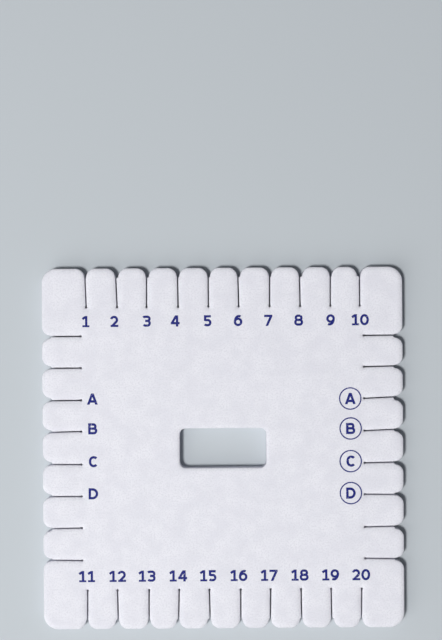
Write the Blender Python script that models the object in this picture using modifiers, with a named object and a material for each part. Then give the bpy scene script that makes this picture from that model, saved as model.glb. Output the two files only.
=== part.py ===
"""Square kumihimo plate: one die-cut sheet of closed-cell foam.

Thread slits run in from all four edges: ten along the front and the back edge, eight along
each side. Between two slits stands a tab with rounded corners, so that each slit opens in a
small V that leads the thread in. The finished braid goes down through the opening in the middle.

The plate lies flat. Z = 0 is its underside, the middle of the opening is at X = Y = 0, and the
slits that are numbered from 1 lie along its +Y edge. All sizes are in metres.
"""

import math

import bmesh
import bpy

PLATE_WIDTH = 0.100
PLATE_HEIGHT = 0.100
PLATE_THICKNESS = 0.005
PLATE_CORNER_RADIUS = 0.0041

# The long tab at each corner is what is left beside the first and the last slit of an edge.
NUMBERED_SLITS = 10
NUMBERED_CORNER_TAB = 0.0120
LETTERED_SLITS = 8
LETTERED_CORNER_TAB = 0.0190

SLIT_DEPTH = 0.0110
SLIT_WIDTH = 0.00035
# The knife leaves a slightly wider hole where a slit ends, which stops it from tearing on.
SLIT_END_DIAMETER = 0.00056
NUMBERED_TAB_RADIUS = 0.0026
LETTERED_TAB_RADIUS = 0.0024
# The V between two tabs is this wide at its foot, where it narrows to the slit.
MOUTH_FOOT_WIDTH = 0.00065

OPENING_WIDTH = 0.0240
OPENING_HEIGHT = 0.0110
OPENING_CORNER_RADIUS = 0.0017

# The die presses the printed face down as it cuts, so the upper edges are left rounded:
# broadly round the outline and the opening, and tightly along the slits.
EDGE_ROUNDING = 0.0009
SLIT_EDGE_ROUNDING = 0.00035

CORNER_STEPS = 6
TAB_STEPS = 5
SLIT_END_STEPS = 5
ROUNDING_STEPS = 2

# A rounding leaves at least this much straight wall beside it.
LEAST_STRAIGHT = 0.0002
WELD_DISTANCE = 0.00001

FLAT_WITHIN = math.radians(0.5)
EDGE_TURNS_BY = math.radians(45)
SHADED_SMOOTH_UNDER = math.radians(40)

FOAM_COLOUR = (0.75, 0.75, 0.81, 1.0)
FOAM_ROUGHNESS = 0.7


def clear_scene():
    for old in list(bpy.data.objects):
        bpy.data.objects.remove(old, do_unlink=True)


def new_collection(name):
    collection = bpy.data.collections.new(name)
    bpy.context.scene.collection.children.link(collection)
    return collection


def foam_material():
    material = bpy.data.materials.new("white_foam")
    material.use_nodes = True
    surface = material.node_tree.nodes["Principled BSDF"]
    surface.inputs["Base Color"].default_value = FOAM_COLOUR
    surface.inputs["Roughness"].default_value = FOAM_ROUGHNESS
    surface.inputs["Metallic"].default_value = 0.0
    return material


def arc(centre, radius, start, end, steps):
    """Points along a circle from one angle to another, in radians, both ends included."""
    turns = [start + (end - start) * i / steps for i in range(steps + 1)]
    return [(centre[0] + radius * math.cos(a), centre[1] + radius * math.sin(a)) for a in turns]


def slit_pitch(edge_length, corner_tab, count):
    return (edge_length - 2 * corner_tab) / (count - 1)


def corner_radius():
    """The plate's corner radius, which its shortest corner tab can limit."""
    return min(PLATE_CORNER_RADIUS, min(NUMBERED_CORNER_TAB, LETTERED_CORNER_TAB) / 2)


def tab_radius(asked, pitch, corner_tab):
    """The tabs' corner radius, which the width of a tab or of a corner tab can limit."""
    between_slits = (pitch - MOUTH_FOOT_WIDTH) / 2
    at_corner = corner_tab - corner_radius() - MOUTH_FOOT_WIDTH / 2
    return min(asked, between_slits - LEAST_STRAIGHT, at_corner - LEAST_STRAIGHT)


def slit_path(along, radius):
    """The cut round one slit, for an edge that runs along +X at Y = 0 with the foam below it.

    It comes from the left: round the corner of one tab, down the slit, round its end, and up
    and round the corner of the next tab.
    """
    foot = MOUTH_FOOT_WIDTH / 2
    wall = SLIT_WIDTH / 2
    end_radius = SLIT_END_DIAMETER / 2
    end_centre = (along, end_radius - SLIT_DEPTH)
    # The slit's walls meet its round end at this angle from straight up.
    meet = math.asin(min(1.0, wall / end_radius))
    start = math.pi / 2 + meet
    left = arc((along - foot - radius, -radius), radius, math.pi / 2, 0, TAB_STEPS)
    slit_top = wall - foot - radius
    down = [(along - wall, slit_top)]
    end = arc(end_centre, end_radius, start, start + 2 * (math.pi - meet), SLIT_END_STEPS)
    up = [(along + wall, slit_top)]
    right = arc((along + foot + radius, -radius), radius, math.pi, math.pi / 2, TAB_STEPS)
    return left + down + end + up + right


def edge_path(edge_length, corner_tab, count, asked_tab_radius):
    """One whole edge of the plate, from its first slit to its right corner, centred on X = 0."""
    pitch = slit_pitch(edge_length, corner_tab, count)
    first = corner_tab - edge_length / 2
    radius = tab_radius(asked_tab_radius, pitch, corner_tab)
    points = []
    for i in range(count):
        points += slit_path(first + i * pitch, radius)
    turn = corner_radius()
    points += arc((edge_length / 2 - turn, -turn), turn, math.pi / 2, 0, CORNER_STEPS)
    return points


def plate_outline():
    """The outer die line, clockwise from the back edge: back, right, front and left."""
    back = edge_path(PLATE_WIDTH, NUMBERED_CORNER_TAB, NUMBERED_SLITS, NUMBERED_TAB_RADIUS)
    right = edge_path(PLATE_HEIGHT, LETTERED_CORNER_TAB, LETTERED_SLITS, LETTERED_TAB_RADIUS)
    back = [(x, y + PLATE_HEIGHT / 2) for x, y in back]
    right = [(y + PLATE_WIDTH / 2, -x) for x, y in right]
    front = [(-x, -y) for x, y in back]
    left = [(-x, -y) for x, y in right]
    return back + right + front + left


def opening_outline():
    """The die line of the middle opening, a rectangle with round corners."""
    radius = min(OPENING_CORNER_RADIUS, min(OPENING_WIDTH, OPENING_HEIGHT) / 2 - LEAST_STRAIGHT)
    across = OPENING_WIDTH / 2 - radius
    up = OPENING_HEIGHT / 2 - radius
    quarter = math.pi / 2
    centres = [(across, up), (-across, up), (-across, -up), (across, -up)]
    points = []
    for i, centre in enumerate(centres):
        points += arc(centre, radius, i * quarter, (i + 1) * quarter, TAB_STEPS)
    return points


def die_cut_sheet(name, outlines, collection):
    """A sheet of the plate's thickness with these outlines, from a flat curve."""
    curve = bpy.data.curves.new(name + "_die_line", "CURVE")
    curve.dimensions = "2D"
    curve.fill_mode = "BOTH"
    curve.extrude = PLATE_THICKNESS / 2
    for outline in outlines:
        spline = curve.splines.new("POLY")
        spline.points.add(len(outline) - 1)
        for point, (x, y) in zip(spline.points, outline):
            point.co = (x, y, 0.0, 1.0)
        spline.use_cyclic_u = True
    drawn = bpy.data.objects.new(name + "_die_line", curve)
    drawn.location.z = PLATE_THICKNESS / 2
    collection.objects.link(drawn)
    bpy.context.view_layer.update()

    evaluated = drawn.evaluated_get(bpy.context.evaluated_depsgraph_get())
    sheet = bpy.data.objects.new(name, bpy.data.meshes.new_from_object(evaluated))
    sheet.matrix_world = drawn.matrix_world
    collection.objects.link(sheet)
    bpy.data.objects.remove(drawn, do_unlink=True)
    return sheet


def edge_rounding():
    """The broad rounding, which the plate's thickness can limit."""
    return min(EDGE_ROUNDING, PLATE_THICKNESS - LEAST_STRAIGHT)


def rounding_at(x, y):
    """How far the upper edge is rounded at a place on the die line."""
    from_side = PLATE_WIDTH / 2 - abs(x)
    from_end = PLATE_HEIGHT / 2 - abs(y)
    depth = min(from_side, from_end)
    in_corner = max(from_side, from_end) < corner_radius()
    in_opening = depth > SLIT_DEPTH + LEAST_STRAIGHT
    if in_corner or in_opening:
        return edge_rounding()
    # Round a tab's corner the broad rounding narrows evenly into the slit's.
    share = min(1.0, depth / min(NUMBERED_TAB_RADIUS, LETTERED_TAB_RADIUS))
    return edge_rounding() + (SLIT_EDGE_ROUNDING - edge_rounding()) * share


def prepare_upper_edges(sheet):
    """Joins the sheet's faces to its wall, and weights each upper edge by its rounding."""
    mesh = bmesh.new()
    mesh.from_mesh(sheet.data)
    bmesh.ops.remove_doubles(mesh, verts=mesh.verts, dist=WELD_DISTANCE)
    bmesh.ops.dissolve_limit(mesh, angle_limit=FLAT_WITHIN, verts=mesh.verts, edges=mesh.edges)
    weight = mesh.edges.layers.float.new("bevel_weight_edge")
    widest = max(edge_rounding(), SLIT_EDGE_ROUNDING)
    for edge in mesh.edges:
        middle = (edge.verts[0].co + edge.verts[1].co) / 2
        turns_down = edge.calc_face_angle() > EDGE_TURNS_BY
        if turns_down and min(v.co.z for v in edge.verts) > 0:
            edge[weight] = rounding_at(middle.x, middle.y) / widest
    mesh.to_mesh(sheet.data)
    mesh.free()


def round_upper_edges(sheet):
    bevel = sheet.modifiers.new("pressed_edge", "BEVEL")
    bevel.limit_method = "WEIGHT"
    bevel.width = max(edge_rounding(), SLIT_EDGE_ROUNDING)
    bevel.segments = ROUNDING_STEPS
    bevel.use_clamp_overlap = False
    bevel.loop_slide = False


def build_plate(collection):
    plate = die_cut_sheet("foam_plate", [plate_outline(), opening_outline()], collection)
    prepare_upper_edges(plate)
    round_upper_edges(plate)
    plate.data.materials.clear()
    plate.data.materials.append(foam_material())
    plate.data.shade_smooth()
    plate.data.set_sharp_from_angle(angle=SHADED_SMOOTH_UNDER)
    return plate


def main():
    clear_scene()
    build_plate(new_collection("kumihimo_plate"))


main()
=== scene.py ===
"""A square kumihimo plate, lying on a pale floor and seen from straight above.

The plate is one sheet of white foam, cut by a die and printed with the numbers and letters of
its thread slits. Sizes below are in millimetres, and MM turns them to metres.
"""

import math

import bmesh
import bpy
from mathutils import Matrix, Vector
from mathutils.bvhtree import BVHTree


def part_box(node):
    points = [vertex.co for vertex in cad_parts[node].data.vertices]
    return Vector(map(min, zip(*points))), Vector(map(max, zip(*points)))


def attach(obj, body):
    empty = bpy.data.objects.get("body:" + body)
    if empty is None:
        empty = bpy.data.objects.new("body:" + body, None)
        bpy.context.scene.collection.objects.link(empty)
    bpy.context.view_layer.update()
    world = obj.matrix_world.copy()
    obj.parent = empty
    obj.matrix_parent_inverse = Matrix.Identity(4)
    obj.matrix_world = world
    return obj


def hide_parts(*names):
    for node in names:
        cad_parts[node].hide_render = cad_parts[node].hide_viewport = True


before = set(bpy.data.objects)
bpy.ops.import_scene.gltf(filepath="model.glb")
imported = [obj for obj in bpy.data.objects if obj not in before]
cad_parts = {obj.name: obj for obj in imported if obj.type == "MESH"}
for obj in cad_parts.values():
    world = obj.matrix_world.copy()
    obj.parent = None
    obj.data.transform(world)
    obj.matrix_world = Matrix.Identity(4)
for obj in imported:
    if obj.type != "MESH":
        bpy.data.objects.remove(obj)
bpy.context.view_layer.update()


# The foam plate.
# One piece of closed-cell EVA foam, 5 mm thick and quite firm. A steel-rule die cuts the outline,
# the opening and all the slits in one stroke, and presses the upper edges round as it goes in.

MM = 0.001
plate_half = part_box("foam_plate")[1].x / MM
plate_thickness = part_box("foam_plate")[1].z / MM
# The printed ink stands this far above the foam's skin, and the two together are the thickness.
ink_rise = 0.015
skin_height = plate_thickness - ink_rise

plate_corner_radius = 4.1
opening_half = Vector((12.0, 5.5))
opening_corner_radius = 1.7
# A slit is as narrow as its knife, and widens into a small hole where it ends.
slit_depth = 11.0
slit_half_width = 0.165
slit_end_half_width = 0.28
slit_end_taper = 0.45
slit_end_length = 0.3
slit_end_radius = 0.2
# A V leads into it. It stands open by the flare at the plate's edge, closes to a little slack at
# its foot, and tapers from there to the slit.
mouth_flare = 0.5
mouth_straight = 0.5
mouth_slack = 0.06
mouth_taper = 0.3

# Each edge has its slits at an even pitch, with a longer tab left at both corners. Each knife
# stands a little out of true: how far a slit's start and its end lie off their place, and how far
# the foot of its V steps out beside it, in the order of a walk round the plate from its left back
# corner. The rounding of the tabs' corners is how far it reaches along both of their sides.
numbered = {"slits": 10, "corner_tab": 12.0, "tab_rounding": 1.95}
lettered = {"slits": 8, "corner_tab": 19.0, "tab_rounding": 1.85}
back_knives = [
    (0.05, 0.30, 0.05),
    (0.15, 0.45, 0.42),
    (0.25, 0.20, 0.35),
    (0.40, 0.50, 0.20),
    (0.45, 0.45, 0.25),
    (0.25, 0.40, 0.35),
    (0.60, 0.55, 0.15),
    (0.45, 0.55, 0.50),
    (0.55, 0.50, 0.15),
    (0.20, 0.20, -0.55),
]
right_knives = [
    (0.00, 0.05, 0.40),
    (-0.30, -0.15, 0.30),
    (-0.58, -0.24, 0.65),
    (-0.43, -0.12, 0.30),
    (-0.20, -0.05, 0.35),
    (-0.10, -0.20, -0.20),
    (-0.15, 0.00, 0.45),
    (0.00, -0.15, 0.25),
]
front_knives = [
    (-0.10, -0.25, 0.20),
    (-0.30, -0.20, -0.35),
    (-0.40, -0.30, 0.30),
    (-0.15, -0.30, 0.15),
    (-0.40, -0.45, -0.20),
    (-0.35, -0.20, 0.45),
    (-0.05, -0.25, 0.25),
    (-0.30, -0.35, -0.15),
    (-0.20, -0.05, 0.40),
    (-0.15, -0.20, 0.20),
]
left_knives = [
    (0.20, 0.05, 0.20),
    (0.10, 0.20, -0.35),
    (0.15, 0.10, 0.30),
    (0.20, 0.10, 0.45),
    (0.25, 0.40, 0.30),
    (0.15, 0.20, 0.50),
    (0.30, 0.30, 0.35),
    (0.25, 0.25, -0.30),
]
plate_edges = [
    (numbered, back_knives),
    (lettered, right_knives),
    (numbered, front_knives),
    (lettered, left_knives),
]

# The corners between the two ends of a slit's wall keep the shading along it even.
wall_shares = (0.0, 0.27, 0.9, 1.0)
sheet = bmesh.new()
tab_corners = {numbered["tab_rounding"]: [], lettered["tab_rounding"]: []}
slit_end_corners = []


def slit_places(edge):
    """Where the slits of an edge lie along it, from its middle."""
    pitch = (2 * plate_half - 2 * edge["corner_tab"]) / (edge["slits"] - 1)
    return [edge["corner_tab"] - plate_half + i * pitch for i in range(edge["slits"])]


def slit_corners(turn, edge, along, knife):
    """The corners of one slit and its V, for a walk along the back edge turned to its own edge."""
    start_off, end_off, v_step = knife
    foot_depth = edge["tab_rounding"] + mouth_straight
    neck_depth = foot_depth + mouth_taper
    end_depth = slit_depth - slit_end_length
    taper_depth = end_depth - slit_end_taper
    sides = []
    for side in (-1, 1):
        foot_off = start_off + side * (slit_half_width + mouth_slack + max(0.0, side * v_step))
        end_wall = end_off + side * slit_end_half_width
        places = [(foot_off + side * mouth_flare, 0.0), (foot_off, foot_depth)]
        for share in wall_shares:
            wall = start_off + (end_off - start_off) * share + side * slit_half_width
            places.append((wall, neck_depth + (taper_depth - neck_depth) * share))
        places += [(end_wall, end_depth), (end_wall, slit_depth)]
        sides.append([Vector((along + off, plate_half - depth, skin_height)) for off, depth in places])
    corners = [sheet.verts.new(turn @ place) for place in [*sides[0], *reversed(sides[1])]]
    tab_corners[edge["tab_rounding"]] += [corners[0], corners[-1]]
    deepest = len(sides[0])
    slit_end_corners.extend(corners[deepest - 1 : deepest + 1])
    return corners


plate_corners = []
walk = []
edge_starts = []
for quarter_turns, (edge, knives) in enumerate(plate_edges):
    turn = Matrix.Rotation(-quarter_turns * math.pi / 2, 4, "Z")
    edge_starts.append(len(walk))
    for along, knife in zip(slit_places(edge), knives):
        walk += slit_corners(turn, edge, along, knife)
    plate_corners.append(sheet.verts.new(turn @ Vector((plate_half, plate_half, skin_height))))
    walk.append(plate_corners[-1])

# The sheet is two halves that meet on X = 0, above and below the opening. The seam parts the slits
# of the back and of the front edge evenly.
seam = [sheet.verts.new((0, y, skin_height)) for y in (plate_half, opening_half.y)]
seam += [sheet.verts.new((0, -y, skin_height)) for y in (opening_half.y, plate_half)]
opening_corners = []
for x, y in ((1, -1), (1, 1), (-1, 1), (-1, -1)):
    corner = (x * opening_half.x, y * opening_half.y, skin_height)
    opening_corners.append(sheet.verts.new(corner))
half_edge = (edge_starts[1] - 1) // 2
back_middle = edge_starts[0] + half_edge
front_middle = edge_starts[2] + half_edge
right_half = [seam[0], *walk[back_middle:front_middle], seam[3], seam[2], *opening_corners[:2]]
right_half.append(seam[1])
left_half = [seam[3], *walk[front_middle:], *walk[:back_middle], seam[0], seam[1]]
left_half += [*opening_corners[2:], seam[2]]
for half in (right_half, left_half):
    sheet.faces.new(reversed(half))


def round_corners(corners, reach, steps):
    """Rounds upright corners of the sheet, as far as this along both of their sides."""
    bmesh.ops.bevel(
        sheet,
        geom=corners,
        offset=reach,
        offset_type="OFFSET",
        segments=steps,
        profile=0.5,
        affect="VERTICES",
        material=-1,
    )


round_corners(plate_corners, plate_corner_radius, 12)
for reach, corners in tab_corners.items():
    round_corners(corners, reach, 8)
round_corners(slit_end_corners, slit_end_radius, 3)
round_corners(opening_corners, opening_corner_radius, 8)

# The sheet gets its thickness, and then rings of faces step in from the die line on both faces.
made = bmesh.ops.extrude_face_region(sheet, geom=sheet.faces[:])
underside = [part for part in made["geom"] if isinstance(part, bmesh.types.BMVert)]
bmesh.ops.translate(sheet, verts=underside, vec=(0, 0, -skin_height))
bmesh.ops.recalc_face_normals(sheet, faces=sheet.faces)
upper_faces = [face for face in sheet.faces if face.normal.z > 0.5]
lower_faces = [face for face in sheet.faces if face.normal.z < -0.5]
wall_faces = [face for face in sheet.faces if abs(face.normal.z) < 0.5]

# How wide and how deep the edges are pressed round. The section of such an edge is close to an
# ellipse, but runs out more softly onto the face, so its exponent is a little below 2.
outline_edge = Vector((1.6, 0.55))
slit_edge = Vector((1.8, 0.52))
opening_edge = Vector((1.2, 0.42))
underside_edge = Vector((0.12, 0.12))
edge_exponent = 1.85
upper_steps = (0.04, 0.08, 0.13, 0.2, 0.27, 0.33, 0.4, 0.35)
underside_steps = (0.03, 0.09)
# A place that is deeper in than the slits is at the opening, and one that is near two of the
# plate's edges is in a corner of the plate.
past_slits = slit_depth + 1
in_plate_corner = 8


def pressed_edge(place, inset):
    """How wide and how deep the upper edge is pressed beside a place this far in from it."""
    from_side = plate_half - abs(place.x)
    from_end = plate_half - abs(place.y)
    depth = min(from_side, from_end) - inset
    if depth > past_slits:
        return opening_edge
    if max(from_side, from_end) < in_plate_corner:
        return outline_edge
    share = min(1.0, max(0.0, depth) / lettered["tab_rounding"])
    return outline_edge.lerp(slit_edge, share)


def drop_of(edge, inset):
    """How far a round edge lies below the face, at this distance in from the die line."""
    share = max(0.0, 1 - inset / edge.x)
    return edge.y * (1 - (1 - share**edge_exponent) ** (1 / edge_exponent))


def corners_of(faces):
    return {corner for face in faces for corner in face.verts}


def step_in(faces, steps):
    """Rings of faces inside the rim of these, with the corners between them and their inset."""
    rings = [wall_faces]
    for step in steps:
        made = bmesh.ops.inset_region(
            sheet,
            faces=faces,
            thickness=step,
            use_boundary=True,
            use_even_offset=True,
        )
        rings.append(made["faces"])
    rings.append(faces)
    inset = 0.0
    for outer, inner, step in zip(rings, rings[1:], [*steps, 0.0]):
        for corner in corners_of(outer) & corners_of(inner):
            yield corner, inset
        inset += step


for corner, inset in list(step_in(upper_faces, upper_steps)):
    corner.co.z = skin_height - drop_of(pressed_edge(corner.co, inset), inset)
for corner, inset in list(step_in(lower_faces, underside_steps)):
    corner.co.z = drop_of(underside_edge, inset)

# The cut walls draw in a little at mid height, where the foam springs back behind the knife. They
# do so by a share of how deep the edge above them is pressed.
wall_hollow = 0.13
upright = {edge for face in wall_faces for edge in face.edges}
upright = [e for e in upright if abs(e.verts[0].co.z - e.verts[1].co.z) > 1]
made = bmesh.ops.subdivide_edges(sheet, edges=upright, cuts=3)
sheet.normal_update()
hollowed = []
for part in made["geom_inner"]:
    if isinstance(part, bmesh.types.BMVert):
        edge = pressed_edge(part.co, 0)
        rise = part.co.z / (skin_height - edge.y)
        depth = wall_hollow * edge.y * math.sin(math.pi * rise)
        hollowed.append((part, part.co - part.normal * depth))
for corner, place in hollowed:
    corner.co = place

# The faces keep the skin, the first material, and the cut walls get the second one.
for face in sheet.faces:
    face.smooth = True
    face.material_index = 1 if abs(face.normal.z) < 0.3 else 0
bmesh.ops.scale(sheet, verts=sheet.verts, vec=(MM, MM, MM))
plate_mesh = bpy.data.meshes.new("foam_plate_cut")
sheet.to_mesh(plate_mesh)
foam_surface = BVHTree.FromBMesh(sheet)
sheet.free()
plate_mesh.set_sharp_from_angle(angle=math.radians(40))
plate = bpy.data.objects.new("foam_plate_cut", plate_mesh)
bpy.context.scene.collection.objects.link(plate)
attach(plate, "root")
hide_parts("foam_plate")


def srgb(code):
    """A linear colour from its sRGB hex code."""
    parts = [int(code[i : i + 2], 16) / 255 for i in (1, 3, 5)]
    return [*(c / 12.92 if c <= 0.04045 else ((c + 0.055) / 1.055) ** 2.4 for c in parts), 1.0]


def add_node(tree, kind, inputs=None, **settings):
    """A node with its settings. Each input gets a value, or a link from another node's output."""
    node = tree.nodes.new(kind)
    for name, value in settings.items():
        setattr(node, name, value)
    for name, value in (inputs or {}).items():
        if isinstance(value, bpy.types.NodeSocket):
            tree.links.new(value, node.inputs[name])
        else:
            node.inputs[name].default_value = value
    return node


# EVA foam skin, as sliced from the block: closed cells make it quite matt and near white, with a
# cool tint, soft cloudy patches, and a pale glow in thin edges where light soaks in.
skin = bpy.data.materials.new("eva_foam_skin")
skin.use_nodes = True
tree = skin.node_tree
surface = tree.nodes["Principled BSDF"]
surface.inputs["Roughness"].default_value = 0.8
surface.inputs["Specular IOR Level"].default_value = 0.3
surface.inputs["Subsurface Weight"].default_value = 0.2
surface.inputs["Subsurface Scale"].default_value = 0.6 * MM
surface.inputs["Subsurface Radius"].default_value = (1.0, 1.0, 1.0)
place = add_node(tree, "ShaderNodeTexCoord")
in_mm = add_node(
    tree, "ShaderNodeMapping", {"Vector": place.outputs["Object"], "Scale": (1000, 1000, 1000)}
)
# Patches of slightly denser foam, about 4 mm across.
patches = add_node(
    tree, "ShaderNodeTexNoise", {"Vector": in_mm.outputs["Vector"], "Scale": 1 / 4, "Detail": 2.0}
)
patch_share = add_node(
    tree,
    "ShaderNodeMapRange",
    {"Value": patches.outputs["Fac"], "From Min": 0.35, "From Max": 0.65},
)
# The cells are about 0.2 mm. They are drawn at 0.45 mm, which is as fine as the picture shows.
cells = add_node(
    tree, "ShaderNodeTexNoise", {"Vector": in_mm.outputs["Vector"], "Scale": 1 / 0.45, "Detail": 2.0}
)
foam_colour = add_node(
    tree,
    "ShaderNodeMix",
    {0: patch_share.outputs["Result"], 6: srgb("#DFDFE6"), 7: srgb("#E6E6EC")},
    data_type="RGBA",
)
cell_share = add_node(
    tree,
    "ShaderNodeMapRange",
    {"Value": cells.outputs["Fac"], "From Min": 0.3, "From Max": 0.55},
)
cell_colour = add_node(
    tree,
    "ShaderNodeMix",
    {0: cell_share.outputs["Result"], 6: srgb("#D9D9E0"), 7: foam_colour.outputs[2]},
    data_type="RGBA",
)
tree.links.new(cell_colour.outputs[2], surface.inputs["Base Color"])
# Slow swells, about 7 mm across, from the slicing blade.
swells = add_node(
    tree, "ShaderNodeTexNoise", {"Vector": in_mm.outputs["Vector"], "Scale": 1 / 7, "Detail": 0.0}
)
swell_bump = add_node(
    tree,
    "ShaderNodeBump",
    {"Height": swells.outputs["Fac"], "Strength": 1.0, "Distance": 0.10 * MM},
)
cell_bump = add_node(
    tree,
    "ShaderNodeBump",
    {
        "Height": cells.outputs["Fac"],
        "Strength": 1.0,
        "Distance": 0.03 * MM,
        "Normal": swell_bump.outputs["Normal"],
    },
)
tree.links.new(cell_bump.outputs["Normal"], surface.inputs["Normal"])

# EVA foam, die cut: the knife opens the cells, so the walls are rougher than the skin, with faint
# upright drag lines. Each open cell is painted darker towards its middle, a painted shade in the
# pits, which makes the walls a little greyer than the skin.
cut = bpy.data.materials.new("eva_foam_cut")
cut.use_nodes = True
tree = cut.node_tree
surface = tree.nodes["Principled BSDF"]
surface.inputs["Roughness"].default_value = 0.95
surface.inputs["Specular IOR Level"].default_value = 0.2
surface.inputs["Subsurface Weight"].default_value = 0.2
surface.inputs["Subsurface Scale"].default_value = 0.6 * MM
surface.inputs["Subsurface Radius"].default_value = (1.0, 1.0, 1.0)
place = add_node(tree, "ShaderNodeTexCoord")
in_mm = add_node(
    tree, "ShaderNodeMapping", {"Vector": place.outputs["Object"], "Scale": (1000, 1000, 1000)}
)
open_cells = add_node(
    tree, "ShaderNodeTexVoronoi", {"Vector": in_mm.outputs["Vector"], "Scale": 1 / 0.4}
)
drag = add_node(
    tree, "ShaderNodeMapping", {"Vector": in_mm.outputs["Vector"], "Scale": (1.0, 1.0, 0.12)}
)
drag_lines = add_node(
    tree, "ShaderNodeTexNoise", {"Vector": drag.outputs["Vector"], "Scale": 1 / 0.35, "Detail": 1.0}
)
# Painted shade: the colour is darker towards the middle of each open cell, as if its pit were in
# shadow.
cut_colour_with_pit_shade = add_node(
    tree,
    "ShaderNodeMix",
    {0: open_cells.outputs["Distance"], 6: srgb("#CFCFDA"), 7: srgb("#E4E4EC")},
    data_type="RGBA",
)
tree.links.new(cut_colour_with_pit_shade.outputs[2], surface.inputs["Base Color"])
drag_bump = add_node(
    tree,
    "ShaderNodeBump",
    {"Height": drag_lines.outputs["Fac"], "Strength": 1.0, "Distance": 0.03 * MM},
)
cell_bump = add_node(
    tree,
    "ShaderNodeBump",
    {
        "Height": open_cells.outputs["Distance"],
        "Strength": 1.0,
        "Distance": 0.05 * MM,
        "Normal": drag_bump.outputs["Normal"],
    },
)
tree.links.new(cell_bump.outputs["Normal"], surface.inputs["Normal"])
plate_mesh.materials.append(skin)
plate_mesh.materials.append(cut)


# The slit numbers.
# Navy ink, pad printed straight onto the foam, one number at the end of each slit. Each is drawn
# in strokes of a flat pen, in mm from its lower left corner, and is a film that reaches as far into
# the skin as it stands above it.

number_height = 3.1
number_pen = 0.66
number_gap = 0.3
# A bend is made of straight steps of up to this many degrees.
pen_turn_step = 9
# A stroke is a start, a heading in degrees from +X, and moves: a run, or a turn to the left in
# degrees with its radius. A minus turns it to the right.
digits = {
    "0": (
        2.45,
        [((0.32, 1.55), 90, [(-36, 1.55), (-108, 0.753), (-72, 1.55), (-108, 0.753), (-36, 1.55)])],
    ),
    "1": (
        2.15,
        [
            ((1.27, 0.0), 90, [3.1]),
            ((0.2, 0.2), 0, [1.95]),
            ((1.32, 2.975), 213.7, [1.32]),
        ],
    ),
    "2": (2.3, [((0.318, 2.18), 75, [(-209, 0.81), 1.62]), ((0.14, 0.26), 0, [2.16])]),
    "3": (
        2.45,
        [
            ((0.26, 2.55), 40, [(-40, 0.95), 0.55, (-180, 0.58), 0.62]),
            ((0.82, 1.62), 0, [0.57, (-180, 0.65), 0.42, (-35, 0.95), 0.12]),
        ],
    ),
    "4": (
        2.6,
        [
            ((1.8, 3.25), 239.3, [2.68]),
            ((0.12, 0.95), 0, [2.46]),
            ((1.86, 0.0), 90, [3.1]),
        ],
    ),
    "5": (
        2.3,
        [
            ((0.38, 2.78), 0, [1.7]),
            ((0.49, 3.1), 270, [1.6]),
            ((0.46, 1.64), 25, [(-25, 1.05), 0.3, (-180, 0.709), 0.24, (-35, 0.95), 0.08]),
        ],
    ),
    "6": (
        2.4,
        [
            ((0.34, 1.22), 90, [(-35, 2.0), (-80, 0.98)]),
            ((2.06, 1.18), 90, [(360, 0.86)]),
        ],
    ),
    "7": (2.35, [((0.06, 2.78), 0, [2.28]), ((2.04, 2.78), 245.7, [3.4])]),
    "8": (
        2.45,
        [
            ((1.045, 2.78), 0, [0.36, (-180, 0.585), 0.36, (-180, 0.585)]),
            ((0.975, 1.63), 0, [0.5, (-180, 0.655), 0.5, (-180, 0.655)]),
        ],
    ),
    "9": (
        2.4,
        [
            ((2.06, 1.88), 270, [(-35, 2.0), (-80, 0.98)]),
            ((2.06, 1.92), 90, [(360, 0.86)]),
        ],
    ),
}
# The middle of each label, along its edge: the print doesn't follow the knives quite evenly.
back_labels = zip(
    ["1", "2", "3", "4", "5", "6", "7", "8", "9", "10"],
    [-37.85, -29.9, -20.9, -13.05, -4.05, 4.4, 12.75, 21.2, 30.05, 38.2],
)
front_labels = zip(
    ["11", "12", "13", "14", "15", "16", "17", "18", "19", "20"],
    [-38.0, -29.5, -21.3, -12.7, -4.4, 4.1, 12.5, 21.0, 29.5, 38.0],
)
# How far the numbers' middles lie from the plate's middle.
label_rise = 35.32
ink_thickness = 2 * ink_rise


def pen_stroke(glyph, pen, start, heading, moves):
    """One flat stroke of the pen, as a strip of faces on Z = 0."""
    place = Vector((*start, 0))
    ahead = Matrix.Rotation(math.radians(heading), 3, "Z") @ Vector((1, 0, 0))
    left = Matrix.Rotation(math.pi / 2, 3, "Z") @ ahead
    first = [glyph.verts.new(place + left * pen / 2), glyph.verts.new(place - left * pen / 2)]
    tip = [*first, glyph.edges.new(first)]
    for move in moves:
        run, turn, radius = (0.0, *move) if isinstance(move, tuple) else (move, 0.0, 0.0)
        turned = Matrix.Rotation(math.radians(turn), 3, "Z")
        centre = place + left * math.copysign(radius, turn)
        made = bmesh.ops.spin(
            glyph,
            geom=tip,
            cent=centre,
            axis=(0, 0, 1),
            angle=math.radians(turn),
            dvec=ahead * run,
            steps=max(1, math.ceil(abs(turn) / pen_turn_step)),
        )
        tip = made["geom_last"]
        place = centre + turned @ (place - centre) + ahead * run
        ahead = turned @ ahead
        left = turned @ left
    # A stroke that comes back to within this distance of its start is joined to it.
    same_place = 0.02
    ends = first + [part for part in tip if isinstance(part, bmesh.types.BMVert)]
    bmesh.ops.remove_doubles(glyph, verts=ends, dist=same_place)


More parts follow.
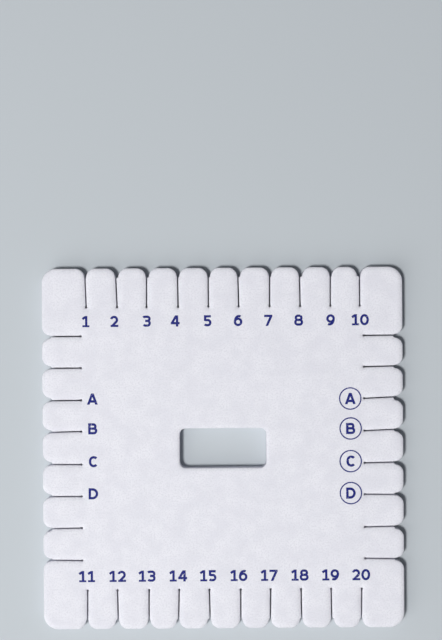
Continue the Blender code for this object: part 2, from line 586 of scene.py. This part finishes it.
def print_strokes(ink, pen, strokes, height, corner):
    """Adds the strokes of a sign to the ink, each a closed film, cut off at its foot and top."""
    glyph = bmesh.new()
    for start, heading, moves in strokes:
        pen_stroke(glyph, pen, start, heading, moves)
    for cut_at, outwards in ((0, -1), (height, 1)):
        bmesh.ops.bisect_plane(
            glyph,
            geom=glyph.verts[:] + glyph.edges[:] + glyph.faces[:],
            dist=0.0001,
            plane_co=(0, cut_at, 0),
            plane_no=(0, outwards, 0),
            clear_outer=True,
        )
    made = bmesh.ops.extrude_face_region(glyph, geom=glyph.faces[:])
    lower = [part for part in made["geom"] if isinstance(part, bmesh.types.BMVert)]
    bmesh.ops.translate(glyph, verts=lower, vec=(0, 0, -ink_thickness))
    bmesh.ops.recalc_face_normals(glyph, faces=glyph.faces)
    bmesh.ops.translate(glyph, verts=glyph.verts, vec=(*corner, plate_thickness))
    bmesh.ops.scale(glyph, verts=glyph.verts, vec=(MM, MM, MM))
    strips = bpy.data.meshes.new("strips")
    glyph.to_mesh(strips)
    glyph.free()
    ink.from_mesh(strips)
    bpy.data.meshes.remove(strips)


def print_label(ink, pen, signs, label, centre):
    """Prints a word of one or more signs, centred on a place."""
    width = sum(signs[sign][0] for sign in label) + number_gap * (len(label) - 1)
    along = centre[0] - width / 2
    for sign in label:
        corner = (along, centre[1] - number_height / 2)
        print_strokes(ink, pen, signs[sign][1], number_height, corner)
        along += signs[sign][0] + number_gap


def finish_print(name, ink):
    """Joins the overlapping strokes of the ink into one film, as a piece on the foam."""
    strokes = bpy.data.meshes.new(name + "_strokes")
    ink.to_mesh(strokes)
    ink.free()
    drawn = bpy.data.objects.new(name + "_strokes", strokes)
    bpy.context.scene.collection.objects.link(drawn)
    join = drawn.modifiers.new("join", "BOOLEAN")
    join.operand_type = "COLLECTION"
    join.solver = "EXACT"
    join.operation = "UNION"
    join.use_self = True
    bpy.context.view_layer.update()
    joined = drawn.evaluated_get(bpy.context.evaluated_depsgraph_get())
    piece = bpy.data.objects.new(name, bpy.data.meshes.new_from_object(joined))
    bpy.context.scene.collection.objects.link(piece)
    bpy.data.objects.remove(drawn, do_unlink=True)
    # Where strokes just touch, the join leaves slivers of faces, which are closed up.
    film = bmesh.new()
    film.from_mesh(piece.data)
    bmesh.ops.dissolve_degenerate(film, dist=0.001 * MM, edges=film.edges)
    film.to_mesh(piece.data)
    film.free()
    # The film follows the skin, which starts to fall away near a slit's end.
    for corner in piece.data.vertices:
        above = Vector((corner.co.x, corner.co.y, 2 * plate_thickness * MM))
        skin_place = foam_surface.ray_cast(above, Vector((0, 0, -1)))[0]
        corner.co.z += skin_place.z - skin_height * MM
    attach(piece, "root")
    return piece


numbers_ink = bmesh.new()
for label, along in back_labels:
    print_label(numbers_ink, number_pen, digits, label, (along, label_rise))
for label, along in front_labels:
    print_label(numbers_ink, number_pen, digits, label, (along, -label_rise))
numbers = finish_print("slit_numbers", numbers_ink)

# Solvent ink on foam: a thin matt film that sinks into the skin. It is navy, a little uneven, and
# the tops of a few cells stay bare and show as pale pinholes.
navy = bpy.data.materials.new("navy_printing_ink")
navy.use_nodes = True
tree = navy.node_tree
surface = tree.nodes["Principled BSDF"]
surface.inputs["Roughness"].default_value = 0.6
surface.inputs["Specular IOR Level"].default_value = 0.2
place = add_node(tree, "ShaderNodeTexCoord")
in_mm = add_node(
    tree, "ShaderNodeMapping", {"Vector": place.outputs["Object"], "Scale": (1000, 1000, 1000)}
)
# Thick and thin ink changes over about 1 mm.
ink_cover = add_node(
    tree, "ShaderNodeTexNoise", {"Vector": in_mm.outputs["Vector"], "Scale": 1.0, "Detail": 2.0}
)
ink_colour = add_node(
    tree,
    "ShaderNodeMix",
    {0: ink_cover.outputs["Fac"], 6: srgb("#0B1566"), 7: srgb("#1A247E")},
    data_type="RGBA",
)
# Bare cells are as small as the picture shows, about 0.3 mm.
bare_cells = add_node(
    tree, "ShaderNodeTexNoise", {"Vector": in_mm.outputs["Vector"], "Scale": 1 / 0.3, "Detail": 0.0}
)
bare_share = add_node(
    tree,
    "ShaderNodeMapRange",
    {"Value": bare_cells.outputs["Fac"], "From Min": 0.74, "From Max": 0.8, "To Max": 0.6},
)
printed_colour = add_node(
    tree,
    "ShaderNodeMix",
    {0: bare_share.outputs["Result"], 6: ink_colour.outputs[2], 7: srgb("#C5C8DA")},
    data_type="RGBA",
)
tree.links.new(printed_colour.outputs[2], surface.inputs["Base Color"])
ink_bump = add_node(
    tree,
    "ShaderNodeBump",
    {"Height": bare_cells.outputs["Fac"], "Strength": 1.0, "Distance": 0.01 * MM},
)
tree.links.new(ink_bump.outputs["Normal"], surface.inputs["Normal"])
numbers.data.materials.append(navy)


# The slit letters.
# The four middle slits of each side have a letter, printed in the same pass and ink as the
# numbers. The left ones are plain, and the right ones stand in thin rings.

letter_pen = 0.68
letters = {
    "A": (
        3.0,
        [
            ((0.25, -0.3), 69.8, [3.7]),
            ((2.75, -0.3), 110.2, [3.7]),
            ((0.65, 0.88), 0, [1.7]),
        ],
    ),
    "B": (
        2.55,
        [
            ((0.34, 0.0), 90, [3.1]),
            ((0.34, 2.76), 0, [1.09, (-180, 0.575), 1.09]),
            ((0.34, 1.61), 0, [1.22, (-180, 0.635), 1.22]),
        ],
    ),
    "C": (
        2.4,
        [
            ((0.34, 1.55), 90, [(-20, 1.7), (-120, 0.97)]),
            ((0.34, 1.68), 270, [0.13, (20, 1.7), (120, 0.97)]),
        ],
    ),
    "D": (2.65, [((0.34, 0.0), 90, [3.1]), ((0.34, 2.76), 0, [0.76, (-180, 1.21), 0.76])]),
}
left_letters = {"A": (-36.1, 13.85), "B": (-36.05, 5.6), "C": (-36.0, -3.5), "D": (-36.0, -12.4)}
right_letters = {
    "A": (35.35, 13.5),
    "B": (35.4, 5.2),
    "C": (35.35, -3.85),
    "D": (35.35, -12.7),
}
ring_width = 6.25
ring_line = 0.34
ring_radius = (ring_width - ring_line) / 2

letters_ink = bmesh.new()
for label, centre in [*left_letters.items(), *right_letters.items()]:
    print_label(letters_ink, letter_pen, letters, label, centre)
ring = [((ring_width - ring_line / 2, ring_width / 2), 90, [(360, ring_radius)])]
for x, y in right_letters.values():
    corner = (x - ring_width / 2, y - ring_width / 2)
    print_strokes(letters_ink, ring_line, ring, ring_width, corner)
letters_piece = finish_print("slit_letters", letters_ink)
letters_piece.data.materials.append(navy)


# The floor.
# One wide sheet of pale matt backdrop paper, laid flat. It lies a hair's breadth below the plate, so
# that the two faces don't meet.

floor_reach = 2000 * MM
floor_gap = 0.02 * MM
floor_sheet = bmesh.new()
bmesh.ops.create_grid(floor_sheet, x_segments=1, y_segments=1, size=floor_reach)
bmesh.ops.translate(floor_sheet, verts=floor_sheet.verts, vec=(0, 0, -floor_gap))
floor_mesh = bpy.data.meshes.new("floor")
floor_sheet.to_mesh(floor_mesh)
floor_sheet.free()
floor = bpy.data.objects.new("floor", floor_mesh)
bpy.context.scene.collection.objects.link(floor)

# Backdrop paper: matt and even, a cool pale grey. The lamps only reach the paper near the plate, so
# from the first of these distances on it fades to how pale it looks there.
paper_fade = (150 * MM, 500 * MM)
far_paper = srgb("#C3CACF")
paper = bpy.data.materials.new("matt_backdrop_paper")
paper.use_nodes = True
tree = paper.node_tree
surface = tree.nodes["Principled BSDF"]
surface.inputs["Base Color"].default_value = srgb("#BEC4C8")
surface.inputs["Roughness"].default_value = 0.95
surface.inputs["Specular IOR Level"].default_value = 0.1
place = add_node(tree, "ShaderNodeTexCoord")
from_plate = add_node(
    tree, "ShaderNodeVectorMath", {0: place.outputs["Object"]}, operation="LENGTH"
)
far_share = add_node(
    tree,
    "ShaderNodeMapRange",
    {
        "Value": from_plate.outputs["Value"],
        "From Min": paper_fade[0],
        "From Max": paper_fade[1],
    },
    interpolation_type="SMOOTHSTEP",
)
seen = add_node(tree, "ShaderNodeLightPath")
far_seen = add_node(
    tree,
    "ShaderNodeMath",
    {0: far_share.outputs["Result"], 1: seen.outputs["Is Camera Ray"]},
    operation="MULTIPLY",
)
far_glow = add_node(tree, "ShaderNodeEmission", {"Color": far_paper, "Strength": 1.0})
floor_look = add_node(
    tree,
    "ShaderNodeMixShader",
    {0: far_seen.outputs["Value"], 1: surface.outputs["BSDF"], 2: far_glow.outputs["Emission"]},
)
tree.links.new(floor_look.outputs["Shader"], tree.nodes["Material Output"].inputs["Surface"])
floor_mesh.materials.append(paper)


# The light.
# A small soft box high up throws the shadows, a wide one lower down shades the pressed edges, both
# from the left and in front, and an even surround fills in. It lights as a mid grey, and is seen as
# pale as the paper.


def soft_box(name, towards, distance, size, energy):
    """A round soft box that stands this way from the plate's middle, in metres, facing it."""
    lamp = bpy.data.lights.new(name, "AREA")
    lamp.shape = "DISK"
    lamp.size = size
    lamp.energy = energy
    box = bpy.data.objects.new(name, lamp)
    box.location = towards.normalized() * distance
    box.rotation_euler = towards.to_track_quat("Z", "Y").to_euler()
    bpy.context.scene.collection.objects.link(box)


soft_box("high_box", Vector((-0.225, -0.12, 1.0)), distance=0.98, size=0.144, energy=6.95)
soft_box("wide_box", Vector((-0.8, -0.8, 1.0)), distance=0.9, size=0.9, energy=3.2)

world = bpy.data.worlds.new("pale_surround")
bpy.context.scene.world = world
world.use_nodes = True
tree = world.node_tree
background = tree.nodes["Background"]
seen = add_node(tree, "ShaderNodeLightPath")
surround = add_node(
    tree,
    "ShaderNodeMix",
    {0: seen.outputs["Is Camera Ray"], 6: srgb("#5F6064"), 7: far_paper},
    data_type="RGBA",
)
tree.links.new(surround.outputs[2], background.inputs["Color"])
background.inputs["Strength"].default_value = 1.0


# The camera.
# It looks straight down from a little under half a metre above the plate, over the plate's back
# half, and is turned by a fraction of a degree, as the photograph's frame is.

camera_height = 450.0
view_middle = Vector((-0.31, 35.5))
view_length = 177.3
view_turn = -0.4
camera_data = bpy.data.cameras.new("camera")
camera_data.lens = camera_data.sensor_width * camera_height / view_length
camera = bpy.data.objects.new("camera", camera_data)
camera.location = Vector((*view_middle, plate_thickness + camera_height)) * MM
camera.rotation_euler = (0, 0, math.radians(view_turn))
bpy.context.scene.collection.objects.link(camera)
bpy.context.scene.camera = camera
bpy.context.scene.view_settings.view_transform = "Standard"
